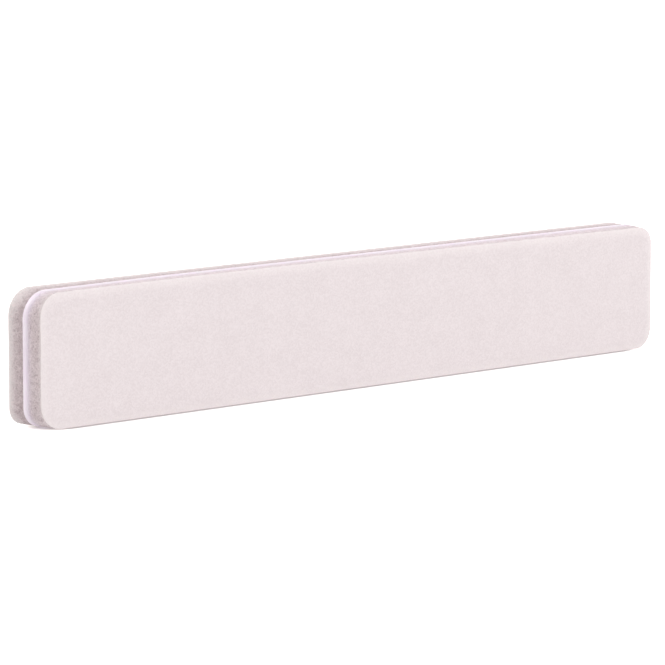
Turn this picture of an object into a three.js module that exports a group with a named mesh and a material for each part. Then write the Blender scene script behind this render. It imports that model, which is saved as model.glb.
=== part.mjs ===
// Nail buffer sponge: a die-cut laminate bar. A stiff plastic board lies in the middle, a foam
// pad is bonded to each side of it, and a sheet of fine abrasive paper covers each pad.
//
// Units are millimetres. The bar stands on one long edge: X runs along it, Y runs through
// its thickness with the front face towards -Y, and Z is up. The origin is on the surface
// that it stands on, under its middle.
import * as THREE from 'three';

// Die-cut outline, a rectangle with round corners. The steel rule of the die is bent by hand and leans a
// little, so the corners are not quite alike. Each set holds the corner radii of the front sheet, of the
// board or of the rear sheet, and a pad goes over from one to the other along its side. Left is -X.
const LENGTH = 178;
const WIDTH = 27.9;
const FRONT_CORNERS = { upperRight: 3.8, upperLeft: 4.9, lowerLeft: 5.1, lowerRight: 4.6 };
const CORE_CORNERS = { upperRight: 3.1, upperLeft: 5.8, lowerLeft: 4.1, lowerRight: 4.6 };
const REAR_CORNERS = { upperRight: 3.4, upperLeft: 5.6, lowerLeft: 3.6, lowerRight: 4.6 };
const ARC_DIVISIONS = 4;

// The blade gives a little beside its bends, so the upper edge dips towards its two corners, by a different
// amount at each layer. A dip starts at a place along X and is whole at its corner.
const FRONT_DIPS = { upperRight: 0.3, upperLeft: 0.2, lowerLeft: 0, lowerRight: 0 };
const CORE_DIPS = { upperRight: 0, upperLeft: 0.2, lowerLeft: 0, lowerRight: 0 };
const REAR_DIPS = { upperRight: 0, upperLeft: 0, lowerLeft: 0, lowerRight: 0 };
const RIGHT_DIP_START = -10;
const LEFT_DIP_START = -48;

// Thickness of each layer, from the middle outwards
const CORE_THICKNESS = 1.4;
const GLUE_THICKNESS = 0.1;
const FOAM_THICKNESS = 4.34;
const PAPER_THICKNESS = 0.22;
const GRIT_THICKNESS = 0.12;

// How far the edge of each layer stands in from the outline, and a film of glue from the layer over it
const CORE_BEVEL = 0.22;
const PAPER_INSET = 0.05;
const GRIT_INSET = 0.06;
const GLUE_RECESS = 0.1;

// Foam springs back after the cut: the side of a pad is hollow beside the stiff board, comes out
// to the outline at its bulge, and turns in again under the rim of the sheet. The rear pad, which
// the blade reaches last, is squeezed more and is hollower.
const FRONT_HOLLOW = 0.12;
const REAR_HOLLOW = 0.16;
const PAD_BULGE = 0.75;
const PAD_SIDE_STEPS = 8;

// The cutting die rolls the rim of each sheet down over its pad
const RIM_WIDTH = 2.4;
const RIM_DROP = 0.3;
const RIM_STEPS = 3;

// Heights of the layers' faces above the middle of the board
const CORE_FACE = CORE_THICKNESS / 2;
const PAD_BOTTOM = CORE_FACE + GLUE_THICKNESS;
const PAD_TOP = PAD_BOTTOM + FOAM_THICKNESS;
const PAPER_BOTTOM = PAD_TOP + GLUE_THICKNESS;
const PAPER_TOP = PAPER_BOTTOM + PAPER_THICKNESS;
const GRIT_TOP = PAPER_TOP + GRIT_THICKNESS;
const PAD_SHOULDER = PAD_TOP - RIM_DROP;

const finish = (color, roughness) => new THREE.MeshStandardMaterial({ color, roughness, metalness: 0 });

// How far the blade's lean has come at a height along Y, from 0 at the board to 1 at a sheet
function leanShare(height) {
  const share = THREE.MathUtils.inverseLerp(CORE_FACE, PAD_SHOULDER, Math.abs(height));
  return THREE.MathUtils.clamp(share, 0, 1);
}

// Radius of one corner at a height along Y
function cornerRadius(corner, height) {
  const sheet = height < 0 ? FRONT_CORNERS : REAR_CORNERS;
  return THREE.MathUtils.lerp(CORE_CORNERS[corner], sheet[corner], leanShare(height));
}

// Dip at one corner at a height along Y
function cornerDip(corner, height) {
  const sheet = height < 0 ? FRONT_DIPS : REAR_DIPS;
  return THREE.MathUtils.lerp(CORE_DIPS[corner], sheet[corner], leanShare(height));
}

// The outline at a height, moved inwards by a constant distance, as points in the plane of the bar.
// Between the starts of its dips the upper edge is level.
function outlineAt({ inset, height }) {
  const corners = [
    { corner: 'upperRight', right: 1, up: 1 },
    { corner: 'upperLeft', right: -1, up: 1 },
    { corner: 'lowerLeft', right: -1, up: -1 },
    { corner: 'lowerRight', right: 1, up: -1 },
  ];
  const shape = new THREE.Shape();
  corners.forEach(({ corner, right, up }, quarter) => {
    const radius = cornerRadius(corner, height);
    const x = right * (LENGTH / 2 - radius);
    const z = up * (WIDTH / 2 - radius) - cornerDip(corner, height);
    const start = quarter * Math.PI / 2;
    shape.absarc(x, z, radius - inset, start, start + Math.PI / 2);
    if (corner === 'upperRight') {
      shape.lineTo(RIGHT_DIP_START, WIDTH / 2 - inset);
      shape.lineTo(LEFT_DIP_START, WIDTH / 2 - inset);
    }
  });
  return shape.getPoints(ARC_DIVISIONS);
}

// A closed solid through a stack of outlines, each given by its inset and its height along Y.
// Bands of triangles join neighbouring outlines, and flat caps close the first and the last.
function stackedSolid(levels) {
  const outlines = levels.map(outlineAt);
  const count = outlines[0].length;
  const points = outlines.flatMap((outline, level) =>
    outline.map((point) => new THREE.Vector3(point.x, levels[level].height, point.y)));

  const indices = [];
  for (let level = 0; level + 1 < levels.length; level += 1) {
    for (let i = 0; i < count; i += 1) {
      const here = level * count + i;
      const next = level * count + (i + 1) % count;
      indices.push(here, here + count, next);
      indices.push(next, here + count, next + count);
    }
  }
  const top = (levels.length - 1) * count;
  for (const [a, b, c] of THREE.ShapeUtils.triangulateShape(outlines[0], [])) {
    indices.push(a, b, c);
    indices.push(top + a, top + c, top + b);
  }

  const geometry = new THREE.BufferGeometry().setFromPoints(points);
  geometry.setIndex(indices);
  geometry.computeVertexNormals();
  return geometry;
}

// Drop of the rolled rim at a step, 0 at the inner end of the rim and RIM_STEPS at the outline
const rimStepInset = (step) => RIM_WIDTH * (1 - step / RIM_STEPS);
const rimStepDrop = (step) => RIM_DROP * (step / RIM_STEPS) ** 2;

// Drop at any inset, on the straight stretch between the two steps on either side of it
function rimDropAt(inset) {
  const place = RIM_STEPS * (1 - inset / RIM_WIDTH);
  const step = Math.min(Math.floor(place), RIM_STEPS - 1);
  return THREE.MathUtils.lerp(rimStepDrop(step), rimStepDrop(step + 1), place - step);
}

// Levels of a face that follows the rolled rim, from its flat middle out to its edge
function rimmedFace(height, edgeInset) {
  const levels = [];
  for (let step = 0; rimStepInset(step) > edgeInset; step += 1) {
    levels.push({ inset: rimStepInset(step), height: height - rimStepDrop(step) });
  }
  levels.push({ inset: edgeInset, height: height - rimDropAt(edgeInset) });
  return levels;
}

// Levels of a sheet of constant thickness that is rolled down at its rim
function rolledSheet(bottom, top, edgeInset) {
  return [...rimmedFace(bottom, edgeInset), ...rimmedFace(top, edgeInset).reverse()];
}

// Levels of a flat sheet with a square edge
function flatSheet(bottom, top, inset) {
  return [{ inset, height: bottom }, { inset, height: top }];
}

// Levels of the die-cut polystyrene board, with its edges broken
function coreBoard() {
  const side = CORE_FACE - CORE_BEVEL;
  return [
    { inset: CORE_BEVEL, height: -CORE_FACE },
    { inset: 0, height: -side },
    { inset: 0, height: side },
    { inset: CORE_BEVEL, height: CORE_FACE },
  ];
}

// Inset of a pad's side at a share of its height: a parabola down to the outline at the bulge,
// then another one back in to the edge of the paper
function padSideInset(share, hollow) {
  if (share < PAD_BULGE) return hollow * (1 - share / PAD_BULGE) ** 2;
  return PAPER_INSET * ((share - PAD_BULGE) / (1 - PAD_BULGE)) ** 2;
}

// Levels of a foam pad: its side from the board up to the rim, then its top under the sheet
function foamPad(hollow) {
  const shoulder = PAD_TOP - rimDropAt(PAPER_INSET);
  const levels = [];
  for (let step = 0; step < PAD_SIDE_STEPS; step += 1) {
    const share = step / PAD_SIDE_STEPS;
    const height = THREE.MathUtils.lerp(PAD_BOTTOM, shoulder, share);
    levels.push({ inset: padSideInset(share, hollow), height });
  }
  return [...levels, ...rimmedFace(PAD_TOP, PAPER_INSET).reverse()];
}

function layer(name, levels, material) {
  const mesh = new THREE.Mesh(stackedSolid(levels), material);
  mesh.name = name;
  return mesh;
}

// The same levels on the two sides of the board: as they are behind it, mirrored in front of it
const behind = (levels) => levels;
const inFront = (levels) => levels.map(({ inset, height }) => ({ inset, height: -height })).reverse();

// The layers that are bonded to one side of the board, from the board outwards
function bufferSide(side, place, hollow) {
  const coreGlue = flatSheet(CORE_FACE, PAD_BOTTOM, hollow + GLUE_RECESS);
  const faceGlue = rolledSheet(PAD_TOP, PAPER_BOTTOM, PAPER_INSET + GLUE_RECESS);
  const paper = rolledSheet(PAPER_BOTTOM, PAPER_TOP, PAPER_INSET);
  const grit = rolledSheet(PAPER_TOP, GRIT_TOP, GRIT_INSET);
  return [
    layer(`${side}_core_adhesive`, place(coreGlue), finish(0xe6ddd6, 0.35)),
    layer(`${side}_foam_pad`, place(foamPad(hollow)), finish(0xcdbec0, 0.95)),
    layer(`${side}_face_adhesive`, place(faceGlue), finish(0xe6ddd6, 0.35)),
    layer(`${side}_abrasive_backing`, place(paper), finish(0xf1e8e6, 0.8)),
    layer(`${side}_grit_coat`, place(grit), finish(0xebe1e2, 0.9)),
  ];
}

const bufferSponge = new THREE.Group();
bufferSponge.add(layer('core_board', coreBoard(), finish(0xf3e9f2, 0.4)));
bufferSponge.add(...bufferSide('rear', behind, REAR_HOLLOW));
bufferSponge.add(...bufferSide('front', inFront, FRONT_HOLLOW));
bufferSponge.position.z = WIDTH / 2;

export default bufferSponge;
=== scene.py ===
import math

import bpy
import numpy as np
from mathutils import Matrix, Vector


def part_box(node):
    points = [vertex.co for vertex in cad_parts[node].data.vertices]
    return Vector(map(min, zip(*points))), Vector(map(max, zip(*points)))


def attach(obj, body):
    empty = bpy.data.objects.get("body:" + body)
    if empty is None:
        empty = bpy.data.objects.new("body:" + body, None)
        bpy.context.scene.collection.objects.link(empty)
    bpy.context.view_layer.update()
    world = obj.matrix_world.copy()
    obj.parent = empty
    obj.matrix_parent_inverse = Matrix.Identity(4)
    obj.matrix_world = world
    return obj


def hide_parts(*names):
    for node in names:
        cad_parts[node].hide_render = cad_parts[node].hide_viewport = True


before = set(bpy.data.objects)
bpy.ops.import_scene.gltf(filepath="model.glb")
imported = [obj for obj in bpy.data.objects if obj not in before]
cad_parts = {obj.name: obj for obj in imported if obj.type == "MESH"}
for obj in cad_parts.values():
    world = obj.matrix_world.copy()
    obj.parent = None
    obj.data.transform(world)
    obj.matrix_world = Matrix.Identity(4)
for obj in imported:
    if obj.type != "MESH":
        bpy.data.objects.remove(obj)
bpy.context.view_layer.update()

# Core board: a stiff strip of pale lilac polystyrene sheet that keeps the buffer straight.
# A steel-rule die cuts it together with the soft layers, so it sets the outline of them all,
# and its edge is burnished, with fine marks of the blade across it and its corners broken.
MM = 0.001
core_low, core_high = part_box("core_board")
LENGTH = core_high.x - core_low.x
WIDTH = core_high.z - core_low.z
CORE_FACE = core_high.y
MIDDLE_Z = core_low.z + WIDTH / 2
RIM_DROP = 0.3 * MM
PAD_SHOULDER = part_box("rear_foam_pad")[1].y - RIM_DROP

# Corners go round from the lower right one: lower right, upper right, upper left, lower left. The upper edge
# dips by so much at its right and its left corner, and each dip starts at a place along X.
CORE_CORNERS = np.array([4.6, 3.1, 5.8, 4.1]) * MM
CORE_DIPS = np.array([0, 0.2]) * MM
RIGHT_DIP_START = -10 * MM
LEFT_DIP_START = -48 * MM

CORE_STEP = 0.3 * MM
CORE_EDGE_POINTS = 15
CORE_CAP_INSET = 2 * MM
CORE_ROLL = 0.22 * MM
CORE_ARRIS = 0.08 * MM
BLADE_MARK_DEPTH = 0.006 * MM
BLADE_MARK_WIDTH = 0.3 * MM
BLADE_MARK_STRETCH = (1.0, 0.06, 1.0)
BLADE_SEED = 11
POLYSTYRENE_CLOUD = 2.5 * MM
POLYSTYRENE_LILAC = "#EBE0E9"
POLYSTYRENE_SHADE = "#E0D4DE"


def linear(hex_colour):
    """An sRGB hex colour as linear RGBA: each channel through the sRGB curve."""
    channels = np.array([int(hex_colour[i:i + 2], 16) for i in (1, 3, 5)]) / 255
    curved = ((channels + 0.055) / 1.055) ** 2.4
    return (*np.where(channels <= 0.04045, channels / 12.92, curved), 1.0)


def add_node(tree, kind, inputs=None, **settings):
    """Add a shader node, set its properties, and give each input a value or a link from an output."""
    node = tree.nodes.new(kind)
    for name, value in settings.items():
        setattr(node, name, value)
    for name, value in (inputs or {}).items():
        if isinstance(value, bpy.types.NodeSocket):
            tree.links.new(value, node.inputs[name])
        else:
            node.inputs[name].default_value = value
    return node


def new_material(name):
    """An empty node material, its tree and its output node."""
    material = bpy.data.materials.new(name)
    material.use_nodes = True
    material.node_tree.nodes.clear()
    return material, material.node_tree, material.node_tree.nodes.new("ShaderNodeOutputMaterial")


def carried_disc(along, ends, normal, radius):
    """Points of an outline that a disc touches as it is carried round: centre + radius * normal. Its centre
    and radius go over from one corner's to the next one's along a side, and the normal turns at a corner.
    Radius holds those of the four corners, and ends tells where the sides and corners of the walk end."""
    centre_x = np.array([1, 1, -1, -1]) * (LENGTH / 2 - radius)
    centre_z = np.array([-1, 1, 1, -1]) * (WIDTH / 2 - radius)
    corner = [0, 1, 1, 2, 2, 3, 3, 0, 0]
    x, z, reach = (np.interp(along, ends, value[corner]) for value in (centre_x, centre_z, radius))
    return np.stack([x, z]) + reach * normal


def upper_dip(along, ends, dips):
    """How far the upper edge dips along the walk: whole at its right and left corner, and evenly less along
    the sides beside them, up to the place on the upper edge where the dip starts."""
    right, left = dips
    right_start = ends[2] + LENGTH / 2 - CORE_CORNERS[1] - RIGHT_DIP_START
    left_start = right_start + RIGHT_DIP_START - LEFT_DIP_START
    places = [*ends[:3], right_start, left_start, *ends[3:6]]
    return np.interp(along, places, [0, right, right, 0, 0, left, left, 0])


def outline_path(step, sheet_corners, sheet_dips):
    """Walk round the die-cut outline of the board in even steps, up its right side first. Returns distance
    along the walk, length of the walk, points, normals, and the lean: how far each point moves from the
    board out to a sheet, whose corners have other radii and dips because the blade leans."""
    next_radius = np.roll(CORE_CORNERS, -1)
    sides = np.array([WIDTH, LENGTH, WIDTH, LENGTH]) - CORE_CORNERS - next_radius
    runs = np.stack([sides, next_radius * math.pi / 2], axis=1)
    ends = np.concatenate([[0], np.cumsum(runs)])
    along = np.linspace(0, ends[-1], round(ends[-1] / step), endpoint=False)
    turn = np.interp(along, ends, math.pi / 2 * np.array([0, 0, 1, 1, 2, 2, 3, 3, 4]))
    normal = np.stack([np.cos(turn), np.sin(turn)])
    outline = carried_disc(along, ends, normal, CORE_CORNERS)
    outline[1] -= upper_dip(along, ends, CORE_DIPS)
    sheet = carried_disc(along, ends, normal, sheet_corners)
    sheet[1] -= upper_dip(along, ends, sheet_dips)
    return along, ends[-1], outline, normal, sheet - outline


def carried_profile(path, inset, height):
    """A profile carried round the outline: outline + share * lean - inset * normal. Inset is the distance in
    from the outline and height the distance along Y, each an array of one row per path point and one column
    per profile point. The share of the lean grows evenly from the board's face to the pad's shoulder."""
    _, _, outline, normal, lean = path
    share = np.clip((np.abs(height) - CORE_FACE) / (PAD_SHOULDER - CORE_FACE), 0, 1)
    x = outline[0][:, None] + share * lean[0][:, None] - inset * normal[0][:, None]
    z = outline[1][:, None] + share * lean[1][:, None] - inset * normal[1][:, None] + MIDDLE_Z
    return np.stack(np.broadcast_arrays(x, height, z), axis=-1)


def ring_faces(index):
    """Quads of a band that closes on itself round its columns, from the vertex number at each column and
    row. They face out of the ring where the rows rise along Y."""
    beside = np.roll(index, -1, axis=0)
    quads = np.stack([index[:, :-1], index[:, 1:], beside[:, 1:], beside[:, :-1]], axis=-1)
    return quads.reshape(-1, 4)


def mesh_object(name, points, faces, material):
    """A smooth-shaded mesh object with its place in its vertices."""
    mesh = bpy.data.meshes.new(name)
    mesh.from_pydata(points.reshape(-1, 3).tolist(), [], faces)
    mesh.polygons.foreach_set("use_smooth", np.ones(len(faces), dtype=bool))
    mesh.materials.append(material)
    piece = bpy.data.objects.new(name, mesh)
    bpy.context.scene.collection.objects.link(piece)
    return piece


def closed_band(name, points, material):
    """A carried profile as a closed body: its band of quads, and a flat cap on its first and last ring."""
    index = np.arange(points[..., 0].size).reshape(points.shape[:2])
    faces = ring_faces(index).tolist() + [index[:, 0].tolist(), index[::-1, -1].tolist()]
    return mesh_object(name, points, faces, material)


def cut_edge(face):
    """Section of the cut edge, from the front face of the board to the rear one. The blade comes in from the
    front and rolls that corner over, and leaves the rear one crisp. With share = |height| / face, the inset
    grows from the middle of the board as roll * share ** 2.5 to the front and arris * share ** 4 to the
    rear."""
    height = face * np.linspace(-1, 1, CORE_EDGE_POINTS)
    share = np.abs(height / face)
    inset = np.where(height < 0, CORE_ROLL * share ** 2.5, CORE_ARRIS * share ** 4)
    cap = [CORE_CAP_INSET]
    return np.concatenate([cap, inset, cap]), np.concatenate([[-face], height, [face]])


def polystyrene_sheet():
    """Extruded polystyrene sheet, cut by a blade: a pale, slightly see-through plastic. Light spreads a
    little under the surface, and the burnished cut is satin with faint marks across it."""
    material, tree, output = new_material("polystyrene_sheet")
    place = add_node(tree, "ShaderNodeTexCoord").outputs["Object"]
    cloud = add_node(tree, "ShaderNodeTexNoise",
                     {"Vector": place, "Scale": 1 / POLYSTYRENE_CLOUD, "Detail": 3.0})
    across = add_node(tree, "ShaderNodeMapping", {"Vector": place, "Scale": BLADE_MARK_STRETCH})
    blade = add_node(tree, "ShaderNodeTexNoise",
                     {"Vector": across.outputs["Vector"], "Scale": 1 / BLADE_MARK_WIDTH, "Detail": 2.0})
    colour = add_node(tree, "ShaderNodeMix",
                      {"Factor": cloud.outputs["Fac"], "A": linear(POLYSTYRENE_SHADE),
                       "B": linear(POLYSTYRENE_LILAC)}, data_type="RGBA")
    gloss = add_node(tree, "ShaderNodeMapRange",
                     {"Value": blade.outputs["Fac"], "To Min": 0.32, "To Max": 0.55})
    bump = add_node(tree, "ShaderNodeBump",
                    {"Height": blade.outputs["Fac"], "Strength": 0.35, "Distance": 0.03 * MM})
    surface = add_node(tree, "ShaderNodeBsdfPrincipled",
                       {"Base Color": colour.outputs[2], "Roughness": gloss.outputs["Result"],
                        "Normal": bump.outputs["Normal"], "IOR": 1.59, "Subsurface Weight": 0.9,
                        "Subsurface Radius": (1.0, 0.85, 1.0), "Subsurface Scale": 0.3 * MM})
    tree.links.new(surface.outputs["BSDF"], output.inputs["Surface"])
    return material


core_path = outline_path(CORE_STEP, CORE_CORNERS, CORE_DIPS)
core_inset, core_height = cut_edge(CORE_FACE)
blade_random = np.random.default_rng(BLADE_SEED)
blade_marks = np.abs(blade_random.normal(0, BLADE_MARK_DEPTH, (len(core_path[0]), 1)))
on_edge = np.clip(1 - core_inset / CORE_ROLL, 0, 1)
core_points = carried_profile(core_path, core_inset + blade_marks * on_edge, core_height)
core_board = closed_band("core_board_sheet", core_points, polystyrene_sheet())
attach(core_board, "root")
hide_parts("core_board")

# Adhesive films: clear acrylic transfer tape between the layers, two on each side of the board.
# They are a tenth of a millimetre thick and end short of the outline, so only a glint shows in the
# seams. Their solids have the right shape, and get the finish of the film.
ACRYLIC_DUST = 0.8 * MM
ACRYLIC_CLEAR = "#EAE2DA"
ACRYLIC_DUSTY = "#D8CCC6"


def acrylic_film():
    """Pressure-sensitive acrylic adhesive: clear, faintly yellow and glossy where it is clean, with dust
    from the cut stuck to its edge in patches."""
    material, tree, output = new_material("acrylic_adhesive_film")
    place = add_node(tree, "ShaderNodeTexCoord").outputs["Object"]
    dust = add_node(tree, "ShaderNodeTexNoise", {"Vector": place, "Scale": 1 / ACRYLIC_DUST, "Detail": 4.0})
    colour = add_node(tree, "ShaderNodeMix",
                      {"Factor": dust.outputs["Fac"], "A": linear(ACRYLIC_CLEAR),
                       "B": linear(ACRYLIC_DUSTY)}, data_type="RGBA")
    gloss = add_node(tree, "ShaderNodeMapRange",
                     {"Value": dust.outputs["Fac"], "To Min": 0.15, "To Max": 0.6})
    surface = add_node(tree, "ShaderNodeBsdfPrincipled",
                       {"Base Color": colour.outputs[2], "Roughness": gloss.outputs["Result"], "IOR": 1.47})
    tree.links.new(surface.outputs["BSDF"], output.inputs["Surface"])
    return material


adhesive = acrylic_film()
for side in ("front", "rear"):
    for layer in ("core", "face"):
        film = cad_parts[f"{side}_{layer}_adhesive"]
        film.data.materials.clear()
        film.data.materials.append(adhesive)

# Foam pads: a slab of mauve-grey closed-cell EVA foam on each side of the board. The die squeezes the
# foam as it cuts, so the side springs back hollow beside the stiff board and bulges out further off, and
# the blade opens the cells into tiny bowls. The die rolls the outer rim down, with the sheet over it.
PAD_STEP = 0.158 * MM
SHEET_CORNERS = {"front": np.array([4.6, 3.8, 4.9, 5.1]) * MM,
                 "rear": np.array([4.6, 3.4, 5.6, 3.6]) * MM}
SHEET_DIPS = {"front": np.array([0.3, 0.2]) * MM, "rear": np.array([0, 0]) * MM}
PAD_HOLLOW = {"front": 0.12 * MM, "rear": 0.16 * MM}
PAD_BULGE = 0.75
PAPER_INSET = 0.05 * MM
LIP_WIDTH = 0.08 * MM
LIP_FOOT = 0.09 * MM
GLUE_LINE = 0.1 * MM
RIM_WIDTH = 2.4 * MM
PAD_RIM_POINTS = 6
CELL_SIZE = 0.5 * MM
CELL_DEPTH = 0.14 * MM
CELL_SHALLOW = 0.25
CELL_WALL = 0.3
CUT_WAVE = 0.02 * MM
CUT_WAVE_COUNT = 40
FOAM_SEED = 20
FINE_CELL = 0.28 * MM
FINE_CELL_SHADE = 0.4
FOAM_PATCH = 1.2 * MM
BOARD_GLOW = {"front": 0.75, "rear": 0.0}
BOARD_GLOW_REACH = 0.7 * MM
BOARD_GLOW_UPWARDS = 1.2
# Painted shade beside the board, on the rear pad only
BOARD_SHADE = {"front": 0.0, "rear": 0.84}
# Painted light from behind: a pale band of the side under the sheet, deeper at the upper corners
SHEET_BACKLIGHT_SHARE = {"front": 0.45, "rear": 0.9}
SHEET_BACKLIGHT_DEPTH = {"front": 1.1 * MM, "rear": 2.4 * MM}
SHEET_BACKLIGHT_CORNER = 0.9
# Painted shade on the lower edge that the pad stands on, where its side turns down to the floor
STANDING_SHADE = 0.9
STANDING_TURN = 0.88
FOAM_MAUVE = "#E3D6D7"
# Colour of the painted shade in the pits, beside the board and where the pad stands
FOAM_PIT_SHADE = "#AA989B"
FOAM_BY_CORE = "#E3D7E5"
# Colour of the painted light from behind, on the band under the sheet
FOAM_BACKLIT = "#E6DEDD"
SIDES = {"front": -1, "rear": 1}


def rim_drop(inset):
    """How far the die rolls the sheet down at an inset: drop * (1 - inset / width) ** 2, a parabola from the
    outline to the end of the rim."""
    return RIM_DROP * np.clip(1 - inset / RIM_WIDTH, 0, 1) ** 2


def pad_side_inset(rise, hollow):
    """Inset of the pad's side at a share of its height: a parabola from the hollow beside the board to
    the outline at the bulge, then another one back in to the edge of the paper."""
    below = np.clip(1 - rise / PAD_BULGE, 0, 1)
    above = np.clip((rise - PAD_BULGE) / (1 - PAD_BULGE), 0, 1)
    return hollow * below ** 2 + PAPER_INSET * above ** 2


def foam_cells(along, across, around, seed):
    """Cells cut open on a strip that closes on itself. Each square of a grid holds one cell centre, moved
    at random. A point's distance from a cell wall is the gap between its second nearest centre and its
    nearest. Returns that gap in cell sizes, and the depth of the point's own cell from 0 to 1."""
    random = np.random.default_rng(seed)
    columns = round(around / CELL_SIZE)
    rows = math.ceil(across.max() / CELL_SIZE) + 3
    centres = random.random((columns, rows, 2))
    depths = random.random((columns, rows))
    u, v = np.broadcast_arrays(along / around * columns, across / CELL_SIZE + 1)
    column, row = np.floor(u).astype(int), np.floor(v).astype(int)
    nearest = np.full(u.shape, 9.0)
    second = np.full(u.shape, 9.0)
    depth = np.zeros(u.shape)
    for shift_u, shift_v in np.ndindex(3, 3):
        i = column + shift_u - 1
        j = row + shift_v - 1
        centre = centres[i % columns, j]
        distance = np.hypot(u - i - centre[..., 0], v - j - centre[..., 1])
        closer = distance < nearest
        second = np.where(closer, nearest, np.minimum(second, distance))
        depth = np.where(closer, depths[i % columns, j], depth)
        nearest = np.minimum(nearest, distance)
    return second - nearest, depth


def cut_waves(along, around, seed):
    """Slow unevenness of the cut: cosines that fit a whole number of times round the outline, with random
    phases and with heights that fall as they get shorter."""
    random = np.random.default_rng(seed)
    count = np.arange(1, CUT_WAVE_COUNT + 1)
    phase = random.uniform(0, 2 * math.pi, CUT_WAVE_COUNT)
    waves = np.cos(2 * math.pi * count * along[:, None] / around + phase) / np.sqrt(count)
    return CUT_WAVE * waves.sum(axis=1) / np.sqrt((1 / count).sum())


def on_side(side, points):
    """A layer behind the board, or its mirror image in front, with its rows in the order that rises
    along Y."""
    return points[:, ::SIDES[side]] * [1, SIDES[side], 1]


def foam_shades(side, normal, up, bowl):
    """Painted shade and light on a pad's side, from 0 to 1 at each point of the walk and distance up from the
    board. The painted shade lies in the open cells, beside the board as (1 - up / top) ** 2, and on the part
    that the pad stands on. Light through the board fades as exp(-up / reach), and reaches further where the
    side faces up. Painted light from behind makes a pale band under the sheet, which ends at a depth, as
    (1 - down / depth) ** 1.5, and is deeper at the upper corners."""
    facing_end, facing_up = np.abs(normal[0])[:, None], np.maximum(normal[1], 0)[:, None]
    # Painted shade where the side turns down to the floor, beside the board and in the pits
    standing = np.clip((-normal[1] - STANDING_TURN) / (1 - STANDING_TURN), 0, 1)[:, None]
    board_shade = BOARD_SHADE[side] * (1 - up / up[-1]) ** 2
    painted_shade = np.clip(bowl + board_shade + STANDING_SHADE * standing, 0, 1)
    reach = BOARD_GLOW_REACH * (1 + BOARD_GLOW_UPWARDS * facing_up)
    glow = BOARD_GLOW[side] * np.exp(-up / reach)
    # Painted light from behind, as a pale band under the sheet, deeper where the side faces up at the ends
    backlight_depth = SHEET_BACKLIGHT_DEPTH[side] * (1 + SHEET_BACKLIGHT_CORNER * 2 * facing_end * facing_up)
    sheet_backlight = SHEET_BACKLIGHT_SHARE[side] * np.clip(1 - (up[-1] - up) / backlight_depth, 0, 1) ** 1.5
    return {"painted_shade": painted_shade, "board_glow": glow, "sheet_backlight": sheet_backlight}


def foam_pad(side, material):
    """A pad from the board outwards: a cap on the glue, the hollow side with its open cells, the rolled rim,
    and a cap under the sheet. Past the end of each glue film the die pinches a lip of foam up against the
    board or the paper. The cells get shallower over the last two rows at each end of the side. The front pad
    is the mirror image of a rear one."""
    low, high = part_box("rear_foam_pad")
    bottom, top = low.y, high.y
    path = outline_path(PAD_STEP, SHEET_CORNERS[side], SHEET_DIPS[side])
    along, around, _, normal, _ = path
    foot = bottom - LIP_FOOT
    shoulder = top + GLUE_LINE - rim_drop(PAPER_INSET)
    rows = round((shoulder - foot) / PAD_STEP)
    rise = np.linspace(0, 1, rows)
    up = (shoulder - foot) * rise
    seed = FOAM_SEED + SIDES[side]

    gap, depth = foam_cells(along[:, None], up[None, :], around, seed)
    whole = np.clip(np.minimum(rise, 1 - rise) * (rows - 1) / 2, 0, 1)
    bowl = whole * np.clip(gap / CELL_WALL, 0, 1) * (CELL_SHALLOW + (1 - CELL_SHALLOW) * depth)
    waves = cut_waves(along, around, seed + 5)[:, None]
    side_inset = np.maximum(pad_side_inset(rise, PAD_HOLLOW[side]) + waves + CELL_DEPTH * bowl, 0)

    foot_inset = PAD_HOLLOW[side] + LIP_WIDTH
    lip_inset = PAPER_INSET + LIP_WIDTH
    base_inset = np.array([RIM_WIDTH, foot_inset, foot_inset]) + 0 * waves
    rim_inset = np.concatenate([[lip_inset], np.linspace(lip_inset, RIM_WIDTH, PAD_RIM_POINTS)]) + 0 * waves
    rim_height = top - rim_drop(rim_inset[0]) + GLUE_LINE * (np.arange(rim_inset.shape[1]) == 0)
    inset = np.hstack([base_inset, side_inset, rim_inset])
    height = np.concatenate([[bottom, bottom, foot], foot + up, rim_height])
    points = on_side(side, carried_profile(path, inset, height))

    pad = closed_band(f"{side}_foam", points, material)
    for name, values in foam_shades(side, normal, up, bowl).items():
        shown = np.hstack([0 * base_inset, values, 0 * rim_inset])[:, ::SIDES[side]]
        pad.data.attributes.new(name, "FLOAT", "POINT").data.foreach_set("value", shown.ravel())
    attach(pad, "root")
    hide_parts(f"{side}_foam_pad")


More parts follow.
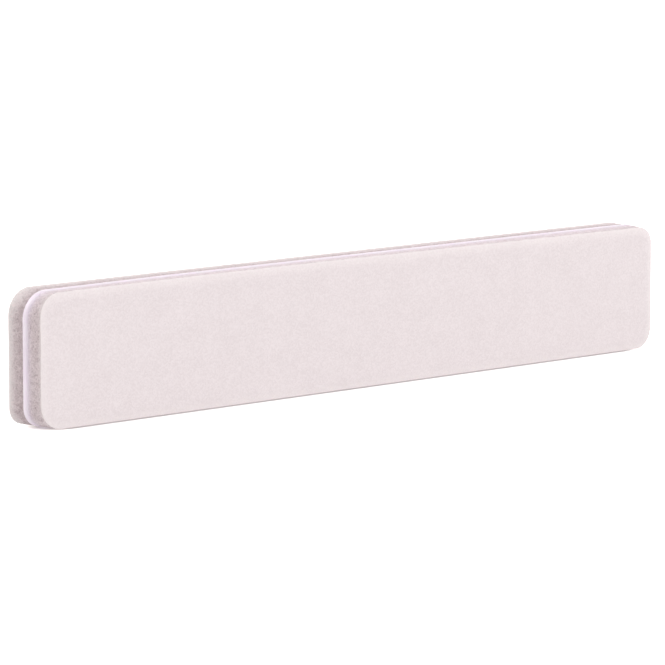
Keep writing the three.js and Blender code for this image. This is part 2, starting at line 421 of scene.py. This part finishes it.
def eva_foam():
    """Closed-cell EVA foam, cut by a blade: dead matt, with cells opened into bowls. Painted shade makes it
    darker in the pits than on the walls, beside the board on the rear pad and where the pad stands. Light
    that comes through the pale board tints the foam beside it, and painted light from behind makes a pale
    band under the sheet. A finer set of cells than those of the mesh is drawn between them."""
    material, tree, output = new_material("eva_foam_cut")
    place = add_node(tree, "ShaderNodeTexCoord").outputs["Object"]
    painted_shade, glow, sheet_backlight = (add_node(tree, "ShaderNodeAttribute", attribute_name=name).outputs["Fac"]
                       for name in ("painted_shade", "board_glow", "sheet_backlight"))
    fine = add_node(tree, "ShaderNodeTexVoronoi", {"Vector": place, "Scale": 1 / FINE_CELL})
    tone = add_node(tree, "ShaderNodeSeparateColor", {"Color": fine.outputs["Color"]}).outputs["Red"]
    patch = add_node(tree, "ShaderNodeTexNoise", {"Vector": place, "Scale": 1 / FOAM_PATCH, "Detail": 3.0})
    # Painted shade in the pits, beside the board and where the pad stands, with the tone of the finer cells
    shade = add_node(tree, "ShaderNodeMath", {0: painted_shade, 1: patch.outputs["Fac"]}, operation="MULTIPLY")
    shade_and_tone = add_node(tree, "ShaderNodeMath", {0: tone, 1: FINE_CELL_SHADE, 2: shade.outputs[0]},
                     operation="MULTIPLY_ADD", use_clamp=True)
    cut = add_node(tree, "ShaderNodeMix",
                   {"Factor": shade_and_tone.outputs[0], "A": linear(FOAM_MAUVE), "B": linear(FOAM_PIT_SHADE)},
                   data_type="RGBA")
    inner = add_node(tree, "ShaderNodeMix",
                     {"Factor": glow, "A": cut.outputs[2], "B": linear(FOAM_BY_CORE)}, data_type="RGBA")
    # Painted light from behind on the band under the sheet
    colour = add_node(tree, "ShaderNodeMix",
                      {"Factor": sheet_backlight, "A": inner.outputs[2], "B": linear(FOAM_BACKLIT)}, data_type="RGBA")
    bump = add_node(tree, "ShaderNodeBump",
                    {"Height": fine.outputs["Distance"], "Strength": 0.5, "Distance": 0.05 * MM})
    surface = add_node(tree, "ShaderNodeBsdfPrincipled",
                       {"Base Color": colour.outputs[2], "Roughness": 0.95, "Diffuse Roughness": 0.8,
                        "Normal": bump.outputs["Normal"], "IOR": 1.48, "Specular IOR Level": 0.2,
                        "Subsurface Weight": 0.2, "Subsurface Radius": (1.0, 0.8, 0.8),
                        "Subsurface Scale": 0.3 * MM, "Sheen Weight": 0.1, "Sheen Roughness": 0.6})
    tree.links.new(surface.outputs["BSDF"], output.inputs["Surface"])
    return material


foam = eva_foam()
for side in SIDES:
    foam_pad(side, foam)

# Backing papers: latex-treated paper that carries the grit. Only the cut edge shows, as a thin warm
# white line between the foam and the grit, slightly frayed by the die.
PAPER_STEP = 0.4 * MM
PAPER_RIM_POINTS = 8
PAPER_FRAY = 0.012 * MM
PAPER_SEED = 40
FIBRE_WIDTH = 0.15 * MM
FIBRE_STRETCH = (0.35, 3.0, 0.35)
PAPER_WHITE = "#F6F0EF"
PAPER_FIBRE = "#EAE1DF"


def backing_paper(side, material):
    """The sheet's section carried round the outline: its lower face, the cut edge and its upper face,
    both faces rolled down at the rim. The edge is moved in and out at random, a fibre at a time."""
    low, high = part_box("rear_abrasive_backing")
    top = high.y
    thickness = top - (low.y + float(rim_drop(PAPER_INSET)))
    path = outline_path(PAPER_STEP, SHEET_CORNERS[side], SHEET_DIPS[side])
    rim = np.linspace(RIM_WIDTH, PAPER_INSET, PAPER_RIM_POINTS)
    inset = np.concatenate([rim, rim[::-1]])
    height = np.concatenate([top - thickness - rim_drop(rim), top - rim_drop(rim[::-1])])
    random = np.random.default_rng(PAPER_SEED + SIDES[side])
    fray = random.uniform(0, PAPER_FRAY, (len(path[0]), 1))
    points = carried_profile(path, inset + fray * (inset == PAPER_INSET), height)
    sheet = closed_band(f"{side}_backing_paper", on_side(side, points), material)
    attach(sheet, "root")
    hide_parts(f"{side}_abrasive_backing")


def latex_paper():
    """Latex-treated kraft paper, bleached: a warm white with short fibres that lie every way in the sheet,
    a little rough where the die tore them."""
    material, tree, output = new_material("latex_backing_paper")
    place = add_node(tree, "ShaderNodeTexCoord").outputs["Object"]
    lying = add_node(tree, "ShaderNodeMapping", {"Vector": place, "Scale": FIBRE_STRETCH})
    fibre = add_node(tree, "ShaderNodeTexNoise",
                     {"Vector": lying.outputs["Vector"], "Scale": 1 / FIBRE_WIDTH, "Detail": 4.0})
    colour = add_node(tree, "ShaderNodeMix",
                      {"Factor": fibre.outputs["Fac"], "A": linear(PAPER_WHITE),
                       "B": linear(PAPER_FIBRE)}, data_type="RGBA")
    bump = add_node(tree, "ShaderNodeBump",
                    {"Height": fibre.outputs["Fac"], "Strength": 0.4, "Distance": 0.03 * MM})
    surface = add_node(tree, "ShaderNodeBsdfPrincipled",
                       {"Base Color": colour.outputs[2], "Roughness": 0.85, "Diffuse Roughness": 0.5,
                        "Normal": bump.outputs["Normal"], "IOR": 1.5, "Specular IOR Level": 0.3})
    tree.links.new(surface.outputs["BSDF"], output.inputs["Surface"])
    return material


paper = latex_paper()
for side in SIDES:
    backing_paper(side, paper)

# Grit coats: very fine white mineral grains bonded in resin on each paper, the working faces of the
# buffer. The face is flat, a little uneven from the coating, and rolls down at its rim.
GRIT_STEP = 0.3 * MM
GRIT_INSET = 0.06 * MM
GRIT_CORNER_ROWS = 16
GRIT_EDGE_ROUND = 0.05 * MM
COAT_WAVE_SIZE = 4.0 * MM
COAT_WAVE = 0.012 * MM
GRAIN_RELIEF = 0.006 * MM
GRIT_SEED = 60
GRAIN_SIZE = 0.3 * MM
SPECK_SIZE = 0.55 * MM
RESIN_CLOUD = 6 * MM
# A painted highlight makes the rim and edge of the coat paler: its width, share and colour
RIM_HIGHLIGHT_WIDTH = 1.8 * MM
RIM_HIGHLIGHT_SHARE = 0.42
GRIT_PALE = "#F8F0F1"
GRIT_SHADE = "#E2D8D9"
GRIT_RIM_HIGHLIGHT = "#FBF4F3"


def lattice_noise(x, z, size, seed):
    """Smooth random heights from -1 to 1: random values on a square lattice, eased between its points."""
    random = np.random.default_rng(seed)
    u, v = (x - x.min()) / size, (z - z.min()) / size
    column, row = np.floor(u).astype(int), np.floor(v).astype(int)
    values = random.uniform(-1, 1, (column.max() + 2, row.max() + 2))
    ease_u, ease_v = (t * t * (3 - 2 * t) for t in (u - column, v - row))
    low = values[column, row] * (1 - ease_u) + values[column + 1, row] * ease_u
    high = values[column, row + 1] * (1 - ease_u) + values[column + 1, row + 1] * ease_u
    return low * (1 - ease_v) + high * ease_v


def corner_radius(side, x, z):
    """Radius of the outline's corner in the quarter of the face that a point lies in."""
    lower_right, upper_right, upper_left, lower_left = SHEET_CORNERS[side]
    left = np.where(z < 0, lower_left, upper_left)
    right = np.where(z < 0, lower_right, upper_right)
    return np.where(x < 0, left, right)


def outline_distance(side, x, z):
    """Distance in from the outline: from the straight sides, or from the arc at a corner."""
    radius = corner_radius(side, x, z)
    over_x = np.abs(x) - (LENGTH / 2 - radius)
    over_z = np.abs(z) - (WIDTH / 2 - radius)
    outside = np.hypot(np.maximum(over_x, 0), np.maximum(over_z, 0))
    return radius - outside - np.minimum(np.maximum(over_x, over_z), 0)


def grit_reach(side, end, z):
    """How far the grit reaches along X at a height, towards the end at -1 or +1: the straight side, less
    what the corner's arc takes off."""
    radius = corner_radius(side, end, z)
    over = np.maximum(np.abs(z) - (WIDTH / 2 - radius), 0)
    return LENGTH / 2 - radius + np.sqrt(np.maximum((radius - GRIT_INSET) ** 2 - over ** 2, 0))


def dipped(side, x, z):
    """A height on the face with the dips at the upper corners taken off. A dip grows evenly along X from its
    start to its corner, and up from the corner below."""
    lower_right, upper_right, upper_left, lower_left = SHEET_CORNERS[side]
    right, left = SHEET_DIPS[side]
    ends = [upper_left - LENGTH / 2, LEFT_DIP_START, RIGHT_DIP_START, LENGTH / 2 - upper_right]
    along = np.interp(x, ends, [left, 0, 0, right])
    low = np.where(x < 0, lower_left, lower_right)
    high = np.where(x < 0, upper_left, upper_right)
    up = np.clip((z + WIDTH / 2 - low) / (WIDTH - low - high), 0, 1)
    return z - along * up


def grit_grid(side):
    """Places on the face as a grid of two parameters: rows across the width, set at even angles where the
    corners are, and columns that stretch each row to the outline's length there."""
    largest = SHEET_CORNERS[side].max()
    half = WIDTH / 2 - largest
    corner = (largest - GRIT_INSET) * np.sin(np.linspace(0, math.pi / 2, GRIT_CORNER_ROWS))
    straight = np.linspace(-half, half, round(2 * half / GRIT_STEP))[1:-1]
    row_z = np.concatenate([-half - corner[::-1], straight, half + corner])
    left, right = grit_reach(side, -1, row_z), grit_reach(side, 1, row_z)
    x = np.linspace(0, 1, round(LENGTH / GRIT_STEP))[:, None] * (left + right) - left
    return x, np.broadcast_to(row_z, x.shape)


def grit_edge(side, x, z, top, thickness):
    """The edge of the coat: a thin profile carried round the border of the face, along the normals there. It
    rounds over, goes down to the paper, and turns in under the coat to the end of the rim."""
    radius = corner_radius(side, x, z)
    half_x, half_z = LENGTH / 2 - radius, WIDTH / 2 - radius
    normal = np.stack([x - np.clip(x, -half_x, half_x), z - np.clip(z, -half_z, half_z)])
    normal = normal / np.hypot(*normal)
    rim = float(rim_drop(GRIT_INSET))
    out = np.array([0.7 * GRIT_EDGE_ROUND, GRIT_EDGE_ROUND, GRIT_EDGE_ROUND, 0, -RIM_WIDTH])
    down = np.array([rim + 0.3 * GRIT_EDGE_ROUND, rim + GRIT_EDGE_ROUND, rim + thickness, rim + thickness,
                     thickness])
    edge_x = x[:, None] + out * normal[0][:, None]
    edge_z = dipped(side, x, z)[:, None] + out * normal[1][:, None] + MIDDLE_Z
    return np.stack(np.broadcast_arrays(edge_x, top - down, edge_z), axis=-1)


def grit_coat(side, material):
    """The face with its edge and a cap that closes the sheet below. The height of the face is the flat sheet
    less the rolled rim, plus the coat's relief: slow waves of the resin and the finer ones of the grains."""
    low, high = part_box("rear_grit_coat")
    top = high.y
    thickness = top - (low.y + float(rim_drop(GRIT_INSET)))
    x, z = grit_grid(side)
    seed = GRIT_SEED + SIDES[side]
    relief = COAT_WAVE * lattice_noise(x, z, COAT_WAVE_SIZE, seed)
    relief = relief + GRAIN_RELIEF * lattice_noise(x, z, 2 * GRIT_STEP, seed + 5)
    distance = outline_distance(side, x, z)
    face = np.stack([x, top - rim_drop(distance) + relief, dipped(side, x, z) + MIDDLE_Z], axis=-1)

    index = np.arange(x.size).reshape(x.shape)
    here, beside = index[:-1, :-1], index[1:, :-1]
    quads = np.stack([here, here + 1, beside + 1, beside], axis=-1).reshape(-1, 4)
    border = np.concatenate([index[:-1, 0], index[-1, :-1], index[:0:-1, -1], index[0, :0:-1]])
    edge = grit_edge(side, x.ravel()[border], z.ravel()[border], top, thickness)
    edge_index = x.size + np.arange(edge[..., 0].size).reshape(edge.shape[:2])
    band = ring_faces(np.column_stack([border, edge_index]))[:, ::-1]
    points = np.concatenate([face.reshape(-1, 3), edge.reshape(-1, 3)]) * [1, SIDES[side], 1]
    faces = [*quads.tolist(), *band.tolist(), edge_index[:, -1].tolist()]
    faces = [corners[::SIDES[side]] for corners in faces]
    coat = mesh_object(f"{side}_grit", points, faces, material)
    # Painted highlight: paler towards the rim, and whole on the edge
    rim_highlight = np.concatenate([np.clip(1 - distance / RIM_HIGHLIGHT_WIDTH, 0, 1).ravel(), np.ones(edge_index.size)])
    coat.data.attributes.new("rim_highlight", "FLOAT", "POINT").data.foreach_set("value", RIM_HIGHLIGHT_SHARE * rim_highlight)
    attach(coat, "root")
    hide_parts(f"{side}_grit_coat")


def mineral_grit():
    """White aluminium oxide grit in resin: dead matt and pale, with a fine speckle of single grains, some
    paler and some in shade. Real grains are a tenth of a millimetre, so they are drawn about three times as
    coarse as that to show. Slow clouds come from the resin, and a painted highlight makes the rim paler."""
    material, tree, output = new_material("mineral_grit_in_resin")
    place = add_node(tree, "ShaderNodeTexCoord").outputs["Object"]
    grain = add_node(tree, "ShaderNodeTexVoronoi", {"Vector": place, "Scale": 1 / GRAIN_SIZE})
    speck = add_node(tree, "ShaderNodeTexNoise",
                     {"Vector": place, "Scale": 1 / SPECK_SIZE, "Detail": 4.0, "Roughness": 0.7})
    cloud = add_node(tree, "ShaderNodeTexNoise", {"Vector": place, "Scale": 1 / RESIN_CLOUD, "Detail": 2.0})
    tone = add_node(tree, "ShaderNodeSeparateColor", {"Color": grain.outputs["Color"]}).outputs["Red"]
    grains = add_node(tree, "ShaderNodeMix",
                      {"Factor": 0.5, "A": tone, "B": speck.outputs["Fac"]}, data_type="FLOAT")
    mixed = add_node(tree, "ShaderNodeMix",
                     {"Factor": 0.25, "A": grains.outputs[0], "B": cloud.outputs["Fac"]},
                     data_type="FLOAT")
    coat = add_node(tree, "ShaderNodeMix",
                    {"Factor": mixed.outputs[0], "A": linear(GRIT_SHADE), "B": linear(GRIT_PALE)},
                    data_type="RGBA")
    rim_highlight = add_node(tree, "ShaderNodeAttribute", attribute_name="rim_highlight").outputs["Fac"]
    # Painted highlight along the rim
    colour = add_node(tree, "ShaderNodeMix",
                      {"Factor": rim_highlight, "A": coat.outputs[2], "B": linear(GRIT_RIM_HIGHLIGHT)}, data_type="RGBA")
    bump = add_node(tree, "ShaderNodeBump",
                    {"Height": grains.outputs[0], "Strength": 0.4, "Distance": 0.04 * MM})
    surface = add_node(tree, "ShaderNodeBsdfPrincipled",
                       {"Base Color": colour.outputs[2], "Roughness": 0.9, "Diffuse Roughness": 0.7,
                        "Normal": bump.outputs["Normal"], "IOR": 1.55, "Specular IOR Level": 0.25})
    tree.links.new(surface.outputs["BSDF"], output.inputs["Surface"])
    return material


grit = mineral_grit()
for side in SIDES:
    grit_coat(side, grit)

# Floor and light: a white studio table, also lit from below, under three soft boxes. The table shows as white
# with only a thin contact shadow on it, dark under the long edge and fading out round the ends.
FLOOR_SIZE = 8.0
FLOOR_GAP = 0.28 * MM
FLOOR_GREY = "#B3B3B3"
FLOOR_WHITE = "#FDFDFD"
FLOOR_BACKLIGHT = 0.49
GLOW_COLOUR = "#FFFAF6"
GLOW_UNDER = 0.12
GLOW_PAST_ENDS = 0.74
GLOW_START = LENGTH / 2 - 3.3 * MM
GLOW_FULL = LENGTH / 2 + 0.4 * MM
WORLD_LIGHT = 0.7
WHITE = "#FFFFFF"

# Place of each soft box and its size, in metres, and its power in watts
LAMPS = {
    "lamp_above": ((0.1, -0.5, 1.1), 0.9, 6.2),
    "lamp_left": ((-0.55, 0.85, 0.7), 0.8, 5.3),
    "lamp_right": ((1.1, -0.1, 0.4), 0.8, 2.6),
}


def looking_rays(tree):
    """1 for a ray that looks at a surface, from the camera or by way of a mirror or glass, and 0 for a ray
    that gathers light from it."""
    rays = add_node(tree, "ShaderNodeLightPath").outputs
    looking = add_node(tree, "ShaderNodeMath", {0: rays["Is Camera Ray"], 1: rays["Is Glossy Ray"]},
                       operation="ADD")
    looking = add_node(tree, "ShaderNodeMath", {0: looking.outputs[0], 1: rays["Is Transmission Ray"]},
                       operation="ADD", use_clamp=True)
    return looking.outputs[0]


def white_table():
    """A matt white table that lights the buffer as one lit from below does, and that shows as white, darkened
    only by the shadow. A glow lifts the shadow, weak under the buffer and strong past its ends. It grows with
    |x| + |y|, whose lines cut slantwise across the round corners."""
    material, tree, output = new_material("white_table")
    matt = add_node(tree, "ShaderNodeBsdfDiffuse", {"Color": linear(FLOOR_GREY)})
    below = add_node(tree, "ShaderNodeEmission", {"Color": linear(WHITE), "Strength": FLOOR_BACKLIGHT})
    lit = add_node(tree, "ShaderNodeAddShader", {0: matt.outputs[0], 1: below.outputs[0]})
    shadowed = add_node(tree, "ShaderNodeBsdfDiffuse", {"Color": linear(FLOOR_WHITE)})
    place = add_node(tree, "ShaderNodeTexCoord").outputs["Object"]
    positive = add_node(tree, "ShaderNodeVectorMath", {0: place}, operation="ABSOLUTE")
    off_middle = add_node(tree, "ShaderNodeVectorMath", {0: positive.outputs[0], 1: (1.0, 1.0, 0.0)},
                          operation="DOT_PRODUCT")
    strength = add_node(tree, "ShaderNodeMapRange",
                        {"Value": off_middle.outputs["Value"], "From Min": GLOW_START, "From Max": GLOW_FULL,
                         "To Min": GLOW_UNDER, "To Max": GLOW_PAST_ENDS})
    glow = add_node(tree, "ShaderNodeEmission",
                    {"Color": linear(GLOW_COLOUR), "Strength": strength.outputs["Result"]})
    shown = add_node(tree, "ShaderNodeAddShader", {0: shadowed.outputs[0], 1: glow.outputs[0]})
    surface = add_node(tree, "ShaderNodeMixShader",
                       {0: looking_rays(tree), 1: lit.outputs[0], 2: shown.outputs[0]})
    tree.links.new(surface.outputs[0], output.inputs["Surface"])
    return material


floor_square = np.array([[-1, -1, 0], [1, -1, 0], [1, 1, 0], [-1, 1, 0]]) * FLOOR_SIZE / 2
floor = mesh_object("table_top", floor_square - [0, 0, FLOOR_GAP], [[0, 1, 2, 3]], white_table())

world = bpy.data.worlds.new("white_studio")
bpy.context.scene.world = world
world.use_nodes = True
studio = world.node_tree
studio.nodes.clear()
room_light = add_node(studio, "ShaderNodeBackground", {"Color": linear(WHITE), "Strength": WORLD_LIGHT})
room_white = add_node(studio, "ShaderNodeBackground", {"Color": linear(WHITE), "Strength": 1.0})
room = add_node(studio, "ShaderNodeMixShader",
                {0: looking_rays(studio), 1: room_light.outputs[0], 2: room_white.outputs[0]})
add_node(studio, "ShaderNodeOutputWorld", {"Surface": room.outputs[0]})


def soft_box(name, place, size, power):
    """A square soft box of a given size and power, aimed at the middle of the buffer: its own Z axis points
    back from there, and its X axis is level."""
    lamp = bpy.data.lights.new(name, "AREA")
    lamp.size = size
    lamp.energy = power
    stand = bpy.data.objects.new(name, lamp)
    bpy.context.scene.collection.objects.link(stand)
    back = np.array(place) - [0, 0, MIDDLE_Z]
    back = back / np.linalg.norm(back)
    right = np.cross([0, 0, 1], back)
    right = right / np.linalg.norm(right)
    turn = np.stack([right, np.cross(back, right), back], axis=1)
    stand.matrix_world = Matrix.Translation(place) @ Matrix(turn.tolist()).to_4x4()


for name, (place, size, power) in LAMPS.items():
    soft_box(name, place, size, power)

# Camera: a long lens, level with a seated viewer, that sees the front face, the near end and a sliver
# of the upper edge. It is aimed a little beside the middle of the buffer.
VIEW_AZIMUTH = math.radians(-42.86)
VIEW_ELEVATION = math.radians(7.90)
VIEW_DISTANCE = 0.930
VIEW_RIGHT = -3.54 * MM
VIEW_UP = -2.795 * MM
LENS_MM = 234.9

level = math.cos(VIEW_ELEVATION)
view_back = np.array([level * math.sin(VIEW_AZIMUTH), -level * math.cos(VIEW_AZIMUTH),
                      math.sin(VIEW_ELEVATION)])
view_right = np.array([math.cos(VIEW_AZIMUTH), math.sin(VIEW_AZIMUTH), 0.0])
view_up = np.cross(view_back, view_right)
view_aim = np.array([0, 0, MIDDLE_Z]) + VIEW_RIGHT * view_right + VIEW_UP * view_up
view_place = view_aim + VIEW_DISTANCE * view_back
lens = bpy.data.cameras.new("photo_view")
lens.lens = LENS_MM
camera = bpy.data.objects.new("photo_view", lens)
bpy.context.scene.collection.objects.link(camera)
view_turn = Matrix(np.stack([view_right, view_up, view_back], axis=1).tolist()).to_4x4()
camera.matrix_world = Matrix.Translation(view_place.tolist()) @ view_turn
bpy.context.scene.camera = camera
bpy.context.scene.view_settings.view_transform = "Standard"
